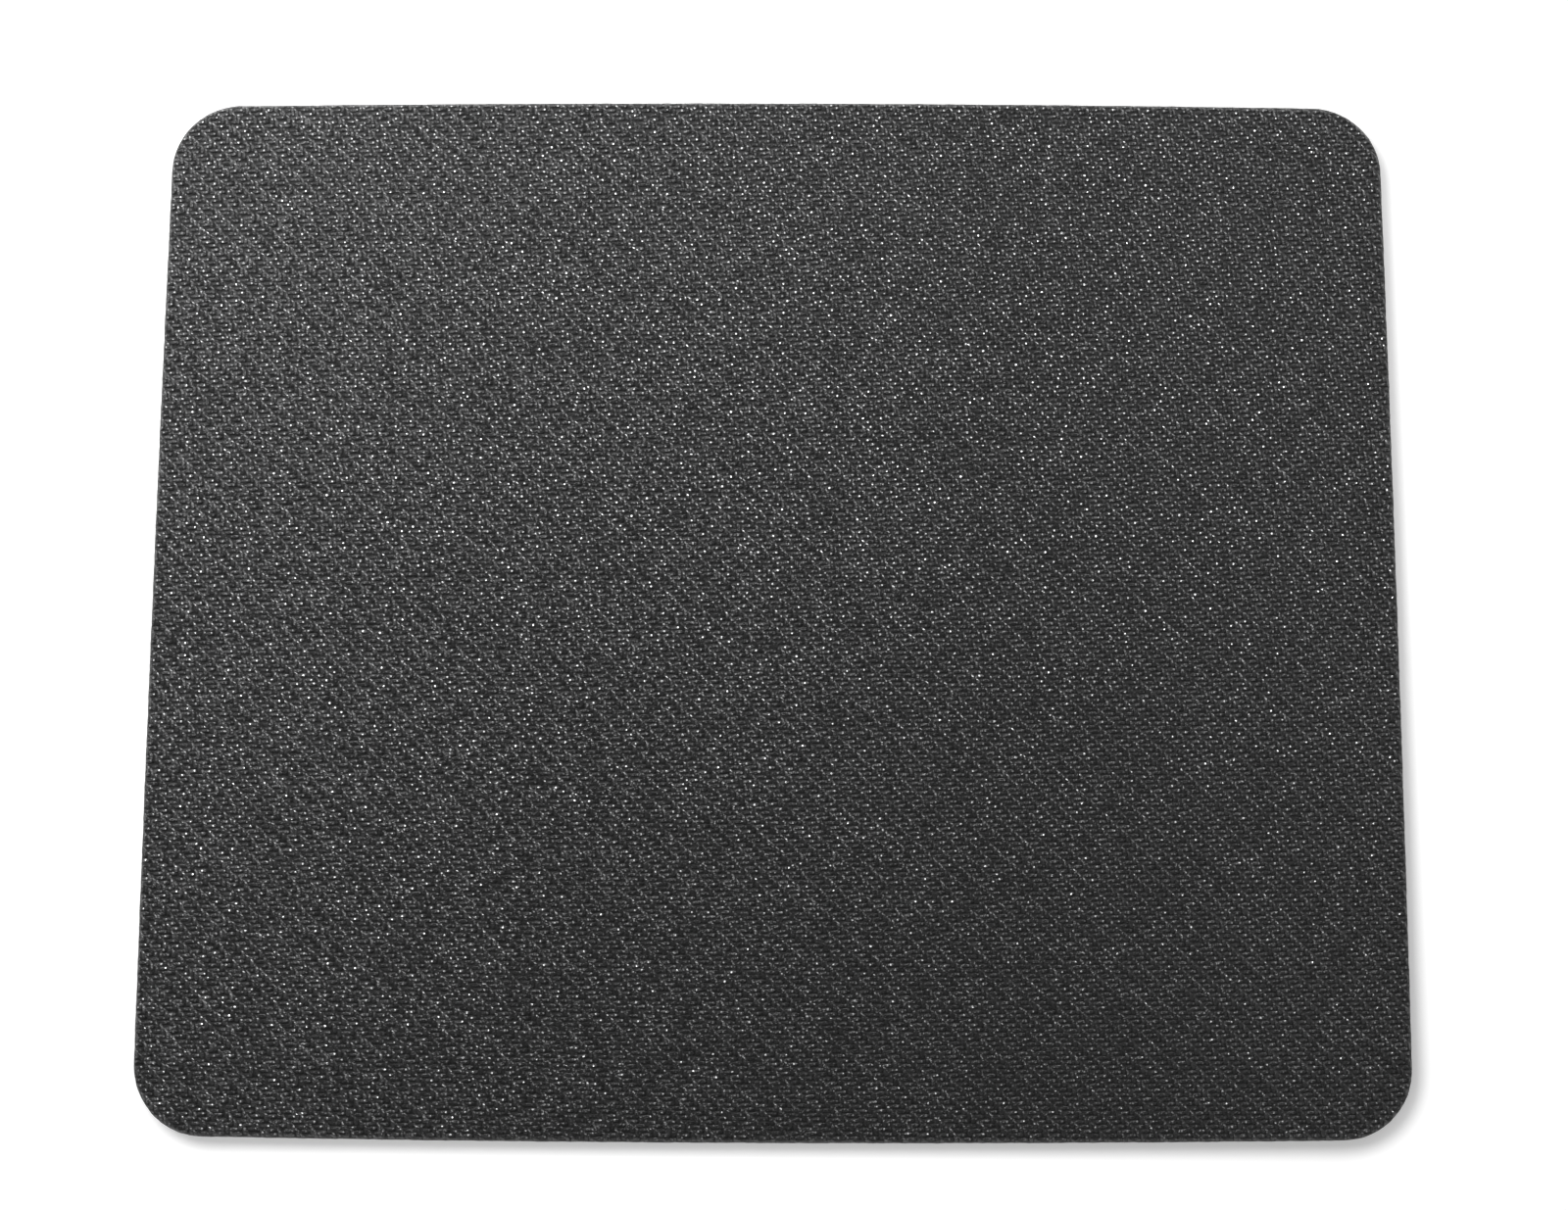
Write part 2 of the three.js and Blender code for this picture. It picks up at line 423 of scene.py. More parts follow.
# Twill in thread counts: each thread rises over two crossings and dips under two, one step later on
# each next thread. Its height is its top, less an arch that grows with the square of the way along
# from its crest, less a back that grows with the square and the fourth power of the way aside. The
# higher thread shows. Every float slips, tilts and has its bare spot by dice of its own.
def twillGroup():
    tree, given, result = newGroup(
        "twill weave",
        [("Weave", "NodeSocketVector"), ("Wander", "NodeSocketFloat"), ("Tilt", "NodeSocketFloat"),
         ("Fuzz", "NodeSocketFloat"), ("Order", "NodeSocketFloat")],
        [("Height", "NodeSocketFloat"), ("Gap", "NodeSocketFloat"), ("Spot", "NodeSocketFloat"),
         ("Level", "NodeSocketFloat"), ("Fleck", "NodeSocketFloat"), ("Chance", "NodeSocketColor")],
    )
    half = weave["repeat"] / 2

    # threads wander in soft waves
    wave = addNoise(tree, given["Weave"], weave["waveScale"], weave["waveDetail"])
    wander = addNode(tree, "ShaderNodeVectorMath", operation="SUBTRACT")
    feed(tree, wander.inputs[0], wave["Color"])
    feed(tree, wander.inputs[1], (0.5, 0.5, 0.5))
    moved = addNode(tree, "ShaderNodeVectorMath", operation="MULTIPLY_ADD")
    for socket, value in zip(moved.inputs, (wander.outputs[0], given["Wander"], given["Weave"])):
        feed(tree, socket, value)
    counts = splitVector(tree, moved.outputs[0])
    across = counts["X"]
    down = counts["Y"]

    # a value that goes from the loose to the orderly part of the weave
    def byOrder(loose, orderly):
        return calc(tree, "MULTIPLY_ADD", given["Order"], orderly - loose, loose)

    disorder = byOrder(*weave["disorder"])

    # how far one float has slipped along, aside and up from its place
    def scatter(index, turn, shape):
        parts = splitColour(tree, throwDice(tree, joinVector(tree, index, turn, shape["firstOver"])))
        return [calc(tree, "MULTIPLY", centred(tree, part), calc(tree, "MULTIPLY", disorder, amount))
                for part, amount in zip(parts, weave["scatter"])]

    # one thread: its count, places across and along the float, height, and which of its floats it is
    def thread(own, other, index, shape):
        travel = calc(tree, "SUBTRACT", calc(tree, "SUBTRACT", other, index), shape["firstOver"])
        turn = calc(tree, "FLOOR", calc(tree, "DIVIDE", calc(tree, "ADD", travel, half), weave["repeat"]))
        slip, sway, lift = scatter(index, turn, shape)
        along = calc(tree, "ADD", calc(tree, "WRAP", travel, half, -half), slip)
        bend = easeBetween(tree, along, *weave["hookFrom"], 0.0, shape["hook"])
        bend = calc(tree, "ADD", bend, sway)
        aside = calc(tree, "ADD", bend, calc(tree, "SUBTRACT", own, index))
        onward = calc(tree, "SUBTRACT", along, shape["crestAt"])
        late = calc(tree, "GREATER_THAN", onward, 0.0)
        arch = calc(tree, "MULTIPLY_ADD", late, shape["sink"] - shape["rise"], shape["rise"])
        arch = calc(tree, "MULTIPLY", arch, calc(tree, "MULTIPLY", onward, onward))
        square = calc(tree, "MULTIPLY", aside, aside)
        steepness = calc(tree, "MULTIPLY_ADD", square, weave["flank"], shape["roundness"])
        fall = calc(tree, "MULTIPLY", square, steepness)
        back = calc(tree, "MULTIPLY_ADD", aside, shape["lean"], shape["top"])
        back = calc(tree, "ADD", back, lift)
        height = calc(tree, "SUBTRACT", back, calc(tree, "ADD", arch, fall))
        return {"index": index, "aside": aside, "along": along, "height": height, "turn": turn}

    # 1 where the second thread lies higher, and all that belongs to the higher one
    def higher(first, second):
        picked = calc(tree, "GREATER_THAN", second["height"], first["height"])
        shown = {}
        for key, value in first.items():
            change = calc(tree, "SUBTRACT", second[key], value)
            shown[key] = calc(tree, "MULTIPLY_ADD", picked, change, value)
        return picked, shown

    # upright threads hook to the left where they come up, level threads climb a little to the right
    leftCount = calc(tree, "FLOOR", across)
    rightCount = calc(tree, "ADD", leftCount, 1.0)
    leftThread = thread(across, down, leftCount, weave["upright"])
    rightThread = thread(across, down, rightCount, weave["upright"])
    upright = higher(leftThread, rightThread)[1]
    phase = calc(tree, "ADD", calc(tree, "SUBTRACT", down, across), weave["level"]["firstOver"])
    phase = calc(tree, "MULTIPLY", phase, 2 * math.pi / weave["repeat"])
    rib = calc(tree, "MULTIPLY", calc(tree, "COSINE", phase), byOrder(*(-rise for rise in weave["rib"])))
    climbed = calc(tree, "MULTIPLY_ADD", calc(tree, "SINE", phase), -weave["climb"], down)
    level = thread(climbed, across, calc(tree, "ROUND", climbed), weave["level"])
    isUpright, shown = higher(level, upright)

    # each float's own tilt, to its side and to its end
    label = joinVector(tree, shown["index"], shown["turn"], isUpright)
    chance = throwDice(tree, label)
    rolls = splitColour(tree, chance)
    sideRoll = calc(tree, "POWER", centred(tree, rolls[0]), weave["tiltPower"])
    endRoll = calc(tree, "POWER", centred(tree, rolls[1]), weave["tiltPower"])
    sideTilt = calc(tree, "MULTIPLY", sideRoll, shown["aside"])
    endTilt = calc(tree, "MULTIPLY", endRoll, shown["along"])
    tilt = calc(tree, "MULTIPLY", calc(tree, "ADD", sideTilt, endTilt), given["Tilt"])
    tilt = calc(tree, "MULTIPLY", tilt, byOrder(*weave["unrest"]))

    # a value of the kind of thread that shows
    def byThread(key):
        ofLevel = weave["level"][key]
        return calc(tree, "MULTIPLY_ADD", isUpright, weave["upright"][key] - ofLevel, ofLevel)

    # one spot on each float where a filament lies bare: near the hook, or anywhere along a level float
    throw = addNode(tree, "ShaderNodeTexWhiteNoise", noise_dimensions="4D")
    feed(tree, throw.inputs["W"], weave["spotThrow"])
    feed(tree, throw.inputs["Vector"], label)
    throws = splitColour(tree, throw.outputs["Color"])
    place = calc(tree, "MULTIPLY_ADD", byThread("spotSpan"), throws[0], byThread("spotFrom"))
    ahead = calc(tree, "SUBTRACT", shown["along"], place)
    awry = calc(tree, "MULTIPLY_ADD", centred(tree, throws[1]), weave["spotAside"], shown["aside"])
    apart = calc(tree, "MULTIPLY_ADD", ahead, ahead, calc(tree, "MULTIPLY", awry, awry))
    spot = easeBetween(tree, apart, *weave["spotSize"])

    fibre = addNoise(tree, given["Weave"], weave["fibres"], 0.0)
    stray = splitColour(tree, fibre["Color"])
    fuzz = calc(tree, "MULTIPLY", centred(tree, stray[0]), given["Fuzz"])
    height = calc(tree, "ADD", calc(tree, "ADD", shown["height"], tilt), calc(tree, "ADD", fuzz, rib))
    feed(tree, result["Height"], height)
    feed(tree, result["Gap"], easeBetween(tree, shown["height"], *weave["gapBelow"]))
    feed(tree, result["Spot"], spot)
    feed(tree, result["Level"], calc(tree, "SUBTRACT", 1.0, isUpright))
    feed(tree, result["Fleck"], centred(tree, stray[1]))
    feed(tree, result["Chance"], chance)
    return tree


grainLook = {"patchDetail": 4.0, "cellEdge": (0.1, 0.55), "patchRelief": 0.5}


# Fine grain for the rubbery sheets: soft patches, small cells, and as bump height the cells plus a
# share of the patches
def grainGroup():
    tree, given, result = newGroup(
        "sheet grain",
        [("Point", "NodeSocketVector"), ("Cells", "NodeSocketFloat"), ("Patches", "NodeSocketFloat")],
        [("Patch", "NodeSocketFloat"), ("Cell", "NodeSocketFloat"), ("Height", "NodeSocketFloat")],
    )
    patch = addNoise(tree, given["Point"], given["Patches"], grainLook["patchDetail"], "3D")
    cell = addNode(tree, "ShaderNodeTexVoronoi", voronoi_dimensions="3D", feature="F1")
    feed(tree, cell.inputs["Vector"], given["Point"])
    feed(tree, cell.inputs["Scale"], given["Cells"])
    hollow = easeBetween(tree, cell.outputs["Distance"], *grainLook["cellEdge"])
    feed(tree, result["Patch"], patch["Fac"])
    feed(tree, result["Cell"], hollow)
    feed(tree, result["Height"], calc(tree, "MULTIPLY_ADD", patch["Fac"], grainLook["patchRelief"], hollow))
    return tree


grain = grainGroup()
twill = twillGroup()


# The grain on one sheet, as fine as its look says
def sheetGrain(tree, look):
    return placeGroup(tree, grain, Point=objectPoint(tree), Cells=look["cells"], Patches=look["patches"])


clothLook = {
    "thread": (0.0130, 0.0131, 0.0135, 1),
    "paintedSideSheen": (0.0305, 0.0306, 0.0313, 1),  # painted sheen: paler towards the two sides
    "sideSheenSpan": (0.035, 0.115),     # distances from the middle over which it fades
    "shades": (0.6, 1.4),       # of single floats, times the thread's colour
    # painted shade: the dark colour between the threads
    "gapShadeColour": (0.0030, 0.0030, 0.0032, 1),
    # painted highlight: the pale colour of the pressed rim stands in for light along the roll
    "rim": (0.066, 0.066, 0.0665, 1),
    "pressed": (0.15, 0.75),    # shares of the way down the roll over which the weave is pressed out and the painted highlight comes in
    "glint": (0.76, 0.76, 0.77, 1),
    "bareLeast": 0.15,          # how bare the least bare filament lies
    "bareShares": (0.8, 1.25),  # times that, on upright and on level threads
    "glintDimCentre": (0.04, -0.10),     # where the glints are painted dimmer, a painted shade
    "glintDimReach": (0.02, 0.15),
    "glintDimShare": 0.5,              # share of the glint left there
    "order": (-0.08, 0.09),     # from here to there, left to right, the weave gets neater
    "wander": 0.22,
    "tilt": 4.4,
    "fuzz": 0.26,
    "refraction": 1.62,
    "roughness": (0.54, 0.20),
    "levelDull": 0.15,          # how much rougher the level threads are
    "fleck": 1.1,               # how much the roughness varies along the filaments
    "glintPolish": 4.0,         # how fast a bare spot gets smooth
    "smoothest": 0.28,
    "gapRoughness": 0.95,
    "rimRoughness": 0.7,
    "relief": 0.85 * mm,
    "swells": 0.07,             # of the gentle unevenness, per thread
    "swellDetail": 2.0,
    "swellHeight": 0.10,
    "swellGloss": 0.18,
    "curl": (0.28, -0.6),       # set left by rolling, seen in the sheen only: across and along, per metre
}


# Face cloth: dark twill of shiny filaments. Every float has its own shade, gloss and tilt, and one spot
# where a filament lies bare and glints like foil. The thread's colour is paler towards the two sides, a
# painted sheen, and the glints are painted dimmer towards the bottom middle, a painted shade. The gaps
# between the threads are painted dark, a painted shade. At the pressed rim the weave fades out and a pale
# colour paints a highlight along the roll.
def clothMaterial():
    material, tree, shader = newMaterial("face cloth")
    feed(tree, shader.inputs["IOR"], clothLook["refraction"])
    source = addNode(tree, "ShaderNodeAttribute", attribute_name="weave").outputs["Vector"]
    pressed = easeBetween(tree, splitVector(tree, source)["Z"], *clothLook["pressed"])
    loose = calc(tree, "SUBTRACT", 1.0, pressed)
    place = splitVector(tree, objectPoint(tree))
    order = easeBetween(tree, place["X"], *clothLook["order"])
    made = placeGroup(tree, twill, Weave=source, Wander=clothLook["wander"], Tilt=clothLook["tilt"],
                      Fuzz=clothLook["fuzz"], Order=order)
    rolls = splitColour(tree, made["Chance"])
    swell = addNoise(tree, source, clothLook["swells"], clothLook["swellDetail"])
    uneven = centred(tree, swell["Fac"])

    # how bare the spot lies: the square of a chance, by the kind of thread, painted dimmer towards the bottom
    # middle as a painted shade
    luck = calc(tree, "MULTIPLY_ADD", uneven, clothLook["swellGloss"], rolls[0])
    least = clothLook["bareLeast"]
    bare = calc(tree, "MULTIPLY_ADD", calc(tree, "MULTIPLY", luck, luck), 1 - least, least)
    onUpright, onLevel = clothLook["bareShares"]
    share = calc(tree, "MULTIPLY_ADD", made["Level"], onLevel - onUpright, onUpright)
    bare = calc(tree, "MULTIPLY", bare, share)
    # painted shade: the glints drop to a share of their strength near the bottom middle
    offX, offY = (calc(tree, "SUBTRACT", way, at) for way, at in zip(place, clothLook["glintDimCentre"]))
    away = flatLength(tree, offX, offY)
    glintUndimmed = easeBetween(tree, away, *clothLook["glintDimReach"], clothLook["glintDimShare"], 1.0)
    bare = calc(tree, "MULTIPLY", bare, glintUndimmed)
    glint = calc(tree, "MULTIPLY", calc(tree, "MULTIPLY", bare, made["Spot"]), loose)

    darkest, palest = clothLook["shades"]
    shade = calc(tree, "MULTIPLY_ADD", rolls[2], palest - darkest, darkest)
    # painted sheen: the thread's colour is painted paler towards the two sides
    aside = easeBetween(tree, calc(tree, "ABSOLUTE", place["X"]), *clothLook["sideSheenSpan"])
    thread = mixColours(tree, aside, clothLook["thread"], clothLook["paintedSideSheen"])
    floatColour = mixColours(tree, 1.0, thread, shade, "MULTIPLY")
    # painted shade: the gaps between the threads are darkened in the colour
    woven = mixColours(tree, made["Gap"], floatColour, clothLook["gapShadeColour"])
    woven = mixColours(tree, glint, woven, clothLook["glint"])
    # painted highlight: the pressed rim turns pale
    feed(tree, shader.inputs["Base Color"], mixColours(tree, pressed, woven, clothLook["rim"]))
    feed(tree, shader.inputs["Metallic"], glint)

    rough = easeBetween(tree, rolls[2], 0.0, 1.0, *clothLook["roughness"])
    rough = calc(tree, "MULTIPLY_ADD", made["Level"], clothLook["levelDull"], rough)
    rough = calc(tree, "MULTIPLY_ADD", made["Fleck"], clothLook["fleck"], rough)
    rough = calc(tree, "MINIMUM", rough, calc(tree, "MULTIPLY_ADD", glint, -clothLook["glintPolish"], 1.0))
    rough = calc(tree, "MAXIMUM", rough, clothLook["smoothest"])
    rough = calc(tree, "MAXIMUM", rough, calc(tree, "MULTIPLY", made["Gap"], clothLook["gapRoughness"]))
    rough = calc(tree, "MAXIMUM", rough, calc(tree, "MULTIPLY", pressed, clothLook["rimRoughness"]))
    feed(tree, shader.inputs["Roughness"], rough)

    height = calc(tree, "MULTIPLY_ADD", uneven, clothLook["swellHeight"], made["Height"])
    height = calc(tree, "MULTIPLY", height, loose)
    for way, curl in zip(place, clothLook["curl"]):
        square = calc(tree, "MULTIPLY", way, way)
        height = calc(tree, "MULTIPLY_ADD", square, curl / clothLook["relief"], height)
    addBump(tree, shader, height, clothLook["relief"])
    return material


clothShape = {
    "aroundCut": 1000,
    "rollSteps": 9,
    "underSteps": 4,
    "fray": 0.035 * mm,             # how far the cut edge wavers
    "frayReach": 0.4 * mm,
    "frayWaves": (37, 83, 151, 290, 411),
    "fraySeed": 3,
    "flatMargin": 0.45 * mm,        # from the roll to the first thread crossing
    "waves": 0.03 * mm,             # height of the slight waves the cloth lies in
    "waveLength": (0.031, 0.027),   # over two pi
    "wavePhase": (1.3, 0.4),
    "sharpAngle": 60,
}


# Cloth face: a woven sheet whose flat part has a point at every thread crossing, upright floats a
# little proud, on a product of two sine waves, and whose rim rolls down to the pressed cut
def clothSheet():
    count = clothShape["aroundCut"]
    path = cutPath(count)
    underInset, underHeight = rolledRings(clothBottom, clothBottomDrop, clothShape["underSteps"])
    overInset, overHeight = rolledRings(clothTop, clothTopDrop, clothShape["rollSteps"])
    fray = clothShape["fray"] * (pathWaves(count, clothShape["frayWaves"], clothShape["fraySeed"]) + 1)
    insets = np.concatenate([underInset, overInset[::-1]])
    heights = np.concatenate([underHeight, overHeight[::-1]])
    nearCut = np.clip(1 - insets / clothShape["frayReach"], 0, 1)
    rings = ringPoints(path, insets + nearCut * fray, heights)
    ringCount = len(insets)
    innerRing = rings[-1, :, :2]

    crossings = threadCrossings()
    inside = insideBy(*crossings[:2]) > cut["rollWidth"] + clothShape["flatMargin"]
    x, y, upright, level = (values[inside] for values in crossings)
    step = np.mod(level - upright, weave["repeat"])
    relief = np.where(step < weave["repeat"] / 2, 1.0, -1.0) * weave["proud"] / 2
    lengthX, lengthY = clothShape["waveLength"]
    phaseX, phaseY = clothShape["wavePhase"]
    waves = clothShape["waves"] * np.sin(x / lengthX + phaseX) * np.sin(y / lengthY + phaseY)
    height = clothTop + relief + waves

    cap = fillRing(innerRing, np.stack([x, y], axis=1))
    topStart = (ringCount - 1) * count
    cap = cap + topStart
    points = np.concatenate([rings.reshape(-1, 3), np.stack([x, y, height], axis=1)])
    faces = [ringFaces(ringCount, count), underFace(count), cap]
    piece = makePiece("cloth_sheet", points, faces, clothMaterial(), "cloth_face",
                      clothShape["sharpAngle"])

    # thread counts and pressed share at every point; on the roll the weave runs on along the surface
    runs = np.hypot(np.diff(overInset[:, 0]), np.diff(overHeight[:, 0]))
    overRun = np.concatenate([[0], np.cumsum(runs)])
    runOut = np.concatenate([np.full(len(underInset), overRun[-1]), overRun[::-1]])
    share = np.concatenate([np.ones(len(underInset)), np.linspace(0, 1, len(overInset))[::-1]])
    laid = innerRing[None, :, :] + runOut[:, None, None] * path[2][None, :, :]
    ringU, ringV = threadCounts(laid[:, :, 0], laid[:, :, 1])
    ringShare = np.broadcast_to(share[:, None], ringU.shape)
    ringWeave = np.stack([ringU, ringV, ringShare], axis=2).reshape(-1, 3)
    flatWeave = np.stack([upright, level, np.zeros(len(x))], axis=1)
    woven = piece.data.attributes.new("weave", "FLOAT_VECTOR", "POINT")
    woven.data.foreach_set("vector", np.concatenate([ringWeave, flatWeave]).astype(np.float32).ravel())
    return piece


filmLook = {
    "colour": (0.020, 0.018, 0.015, 1),
    "pale": (0.05, 0.045, 0.038, 1),
    "roughness": (0.25, 0.5),
    "cells": 1800.0,         # per metre, as are the patches
    "patches": 220.0,
    "cloudy": (0.4, 0.7),
    "relief": 0.03 * mm,
}
filmShape = {
    "aroundCut": 700,
    "rollSteps": 4,
    "waver": 0.03 * mm,      # how far the squeezed edge goes in and out
    "waverReach": 0.1 * mm,
    "waverWaves": (19, 53, 97, 171),
}


# Hot-melt film: smooth, paler and duller where it has set cloudy
def filmMaterial():
    material, tree, shader = newMaterial("bond film")
    made = sheetGrain(tree, filmLook)
    cloudy = easeBetween(tree, made["Patch"], *filmLook["cloudy"])
    feed(tree, shader.inputs["Base Color"], mixColours(tree, cloudy, filmLook["colour"], filmLook["pale"]))
    feed(tree, shader.inputs["Roughness"], easeBetween(tree, cloudy, 0.0, 1.0, *filmLook["roughness"]))
    addBump(tree, shader, made["Height"], filmLook["relief"])
    return material


# Film: two faces, flat or rolled, and a cut edge that wavers in and out where the glue was squeezed
def filmSheet(name, node, faces, drops, material, seed):
    count = filmShape["aroundCut"]
    path = cutPath(count)
    steps = filmShape["rollSteps"] if drops[1] > 0 else 1
    underInset, underHeight = rolledRings(faces[0], drops[0], steps)
    overInset, overHeight = rolledRings(faces[1], drops[1], steps)
    insets = np.concatenate([underInset, overInset[::-1]])
    heights = np.concatenate([underHeight, overHeight[::-1]])
    waver = filmShape["waver"] * (pathWaves(count, filmShape["waverWaves"], seed) + 1)
    rings = ringPoints(path, insets + np.where(insets < filmShape["waverReach"], waver, 0), heights)
    ringCount = len(insets)
    blocks = [ringFaces(ringCount, count), underFace(count), topFace(ringCount, count)]
    return makePiece(name, rings.reshape(-1, 3), blocks, material, node)


foamLook = {
    "wall": (0.0125, 0.0125, 0.013, 1),
    # painted shade: the dark colour down in the open cells
    "poreShadeColour": (0.003, 0.003, 0.003, 1),
    "dust": (0.032, 0.032, 0.032, 1),
    "shine": 0.25,
    "roughness": (1.0, 0.82),  # in a pore, on a wall
    "cells": 2600.0,
    "patches": 160.0,
    "dusty": (0.45, 0.75),
    "relief": 0.12 * mm,
}
foamShape = {
    "aroundCut": 1700,
    "sideSteps": 11,
    "rollSteps": 4,
    "cells": 0.022 * mm,       # depth of the cells cut open
    "cellSeed": 11,
    "sway": 0.06 * mm,         # how far the side sways in
    "swayWaves": (5, 9, 14, 23),
    "swaySeed": 5,
}


# Sponge rubber: matt, open cells cut through at the side and painted dark inside as a painted shade, a little
# dust on the cell walls
def foamMaterial():
    material, tree, shader = newMaterial("sponge rubber")
    feed(tree, shader.inputs["Specular IOR Level"], foamLook["shine"])
    made = sheetGrain(tree, foamLook)
    dusty = easeBetween(tree, made["Patch"], *foamLook["dusty"])
    wall = mixColours(tree, dusty, foamLook["wall"], foamLook["dust"])
    # painted shade: the cells are darkened in the colour towards their middles
    feed(tree, shader.inputs["Base Color"], mixColours(tree, made["Cell"], foamLook["poreShadeColour"], wall))
    feed(tree, shader.inputs["Roughness"], easeBetween(tree, made["Cell"], 0.0, 1.0, *foamLook["roughness"]))
    addBump(tree, shader, made["Height"], foamLook["relief"])
    return material


# Foam block: flat underside, side drawn in along half a sine wave and roughened by its cells, rolled top edge
def foamBlock():
    count = foamShape["aroundCut"]
    sideSteps = foamShape["sideSteps"]
    path = cutPath(count)
    share = np.linspace(0, 1, sideSteps + 1)[:-1, None]
    bulge = np.sin(math.pi * share)
    sideInset = cut["drawIn"] * bulge
    sideHeight = foamBottom + (foamTop - cut["foamDrop"] - foamBottom) * share
    overInset, overHeight = rolledRings(foamTop, cut["foamDrop"], foamShape["rollSteps"])
    cells = np.random.default_rng(foamShape["cellSeed"]).normal(0, foamShape["cells"], (sideSteps, count))
    cells[0] = 0
    sway = foamShape["sway"] * (pathWaves(count, foamShape["swayWaves"], foamShape["swaySeed"]) + 1) * bulge
    topInset = np.broadcast_to(overInset[::-1], (len(overInset), count))
    insets = np.concatenate([sideInset + np.abs(cells) + sway, topInset])
    heights = np.concatenate([sideHeight, overHeight[::-1]])
    rings = ringPoints(path, insets, heights)
    ringCount = len(insets)
    faces = [ringFaces(ringCount, count), underFace(count), topFace(ringCount, count)]
    return makePiece("foam_block", rings.reshape(-1, 3), faces, foamMaterial(), "foam_core")


soleLook = {
    "rubber": (0.0165, 0.0165, 0.017, 1),
    "worn": (0.027, 0.027, 0.027, 1),
    # painted shade: the dark colour down in the grooves
    "groove": (0.006, 0.006, 0.006, 1),
    "dust": (0.045, 0.044, 0.042, 1),
    "roughness": (0.62, 0.85),
    "cells": 5200.0,
    "patches": 90.0,
    "bloom": (0.4, 0.9),
    "dustFrom": 0.04 * mm,     # height above the desk at which the grooves begin
    "dustTo": 1.1,             # and end, over their depth
    "relief": 0.03 * mm,
}
soleShape = {
    "pitch": 2.6 * mm,
    "grooveWidth": 0.7 * mm,
    "groove": 0.24 * mm,       # depth
    "border": 1.6 * mm,
    "aroundCut": 1000,
    "edge": 0.12 * mm,         # size of the rounded lower edge
    "edgeRise": 0.25,          # share of it that lies below its middle
    "waver": 0.03 * mm,
    "waverWaves": (11, 29, 61, 143),
    "waverSeed": 7,
    "sharpAngle": 25,
}


# Sole rubber: matt black with a faint bloom, worn on the lozenges, the grooves painted darker as a painted
# shade, dust left down in the grooves
def soleMaterial():
    material, tree, shader = newMaterial("sole rubber")
    made = sheetGrain(tree, soleLook)
    bloom = easeBetween(tree, made["Patch"], *soleLook["bloom"])
    place = splitVector(tree, objectPoint(tree))
    deep = easeBetween(tree, place["Z"], soleLook["dustFrom"], soleShape["groove"])
    edgeOff = calc(tree, "LESS_THAN", place["Z"], soleShape["groove"] * soleLook["dustTo"])
    groove = calc(tree, "MULTIPLY", deep, edgeOff)
    dust = calc(tree, "MULTIPLY", groove, bloom)
    rubber = mixColours(tree, bloom, soleLook["rubber"], soleLook["worn"])
    # painted shade: the grooves are darkened in the colour
    rubber = mixColours(tree, groove, rubber, soleLook["groove"])
    feed(tree, shader.inputs["Base Color"], mixColours(tree, dust, rubber, soleLook["dust"]))
    feed(tree, shader.inputs["Roughness"], easeBetween(tree, bloom, 0.0, 1.0, *soleLook["roughness"]))
    addBump(tree, shader, made["Height"], soleLook["relief"])
    return material


# Sole: a thin sheet whose underside is a field of flat lozenges parted by crossing grooves.
# Height over the two diagonals: 0 on a lozenge, the groove's depth along a groove's middle line.
def soleSheet():
    count = soleShape["aroundCut"]
    pitch = soleShape["pitch"]
    halfGroove = soleShape["grooveWidth"] / 2
    path = cutPath(count)
    reach = math.hypot(cut["width"], cut["depth"]) / 2
    repeats = np.arange(math.floor(-reach / pitch), math.ceil(reach / pitch) + 1)
    stops = np.array([0, halfGroove, pitch - halfGroove])
    marks = (repeats[:, None] * pitch + stops[None, :]).ravel()
    onGroove = np.tile(np.array([True, False, False]), len(repeats))
    along, across = np.meshgrid(marks, marks)
    sunk = np.logical_or(*np.meshgrid(onGroove, onGroove)).ravel()
    x = ((along - across) / math.sqrt(2)).ravel()
    y = ((along + across) / math.sqrt(2)).ravel()
    inside = insideBy(x, y) > soleShape["border"]
    x, y, sunk = (values[inside] for values in (x, y, sunk))

    # the first two rings round the lower edge off, the last two are the cut side
    edge = soleShape["edge"]
    waver = soleShape["waver"] * (pathWaves(count, soleShape["waverWaves"], soleShape["waverSeed"]) + 1)
    rounded = np.array([edge, edge / 2, 0, 0])[:, None]
    onSide = np.array([0, 0, 1, 1])[:, None]
    heights = np.array([0, edge * soleShape["edgeRise"], edge, soleTop])[:, None]
    rings = ringPoints(path, rounded + onSide * waver, heights)
    ringCount = len(heights)
    under = fillRing(rings[0, :, :2], np.stack([x, y], axis=1))[:, ::-1]
    under = np.where(under < count, under, under + (ringCount - 1) * count)
    points = np.concatenate([rings.reshape(-1, 3), np.stack([x, y, sunk * soleShape["groove"]], axis=1)])
    faces = [ringFaces(ringCount, count), under, topFace(ringCount, count)]
    return makePiece("sole_sheet", points, faces, soleMaterial(), "grip_sole",
                     soleShape["sharpAngle"])


soleSheet()
film = filmMaterial()
filmSheet("sole_film", "sole_bond_film", (soleTop, foamBottom), (0, 0), film, seed=21)
foam = foamBlock()
clothFilmDrops = (cut["foamDrop"], clothBottomDrop)
filmSheet("cloth_film", "cloth_bond_film", (foamTop, clothBottom), clothFilmDrops, film, seed=22)
cloth = clothSheet()
cutArea = 4 * cornerX * cornerY + 4 * (cornerX + cornerY) * cut["cornerRadius"]
cutArea = cutArea + math.pi * cut["cornerRadius"] ** 2


# Plain white floor, wide enough to reach the horizon in low views
floorLook = {
    "reach": 30.0,
    "under": 0.15 * mm,                    # how far it goes under the pad's edge
    "aroundCut": 160,
    "colour": (0.95, 0.95, 0.95, 1),
    "glow": 0.19,                          # beside the pad
    "glowNear": (1.2 * mm, 6 * mm, 0.30),  # from, to, and how much it grows between
    "glowFar": (0.01, 0.4, 0.6),
}


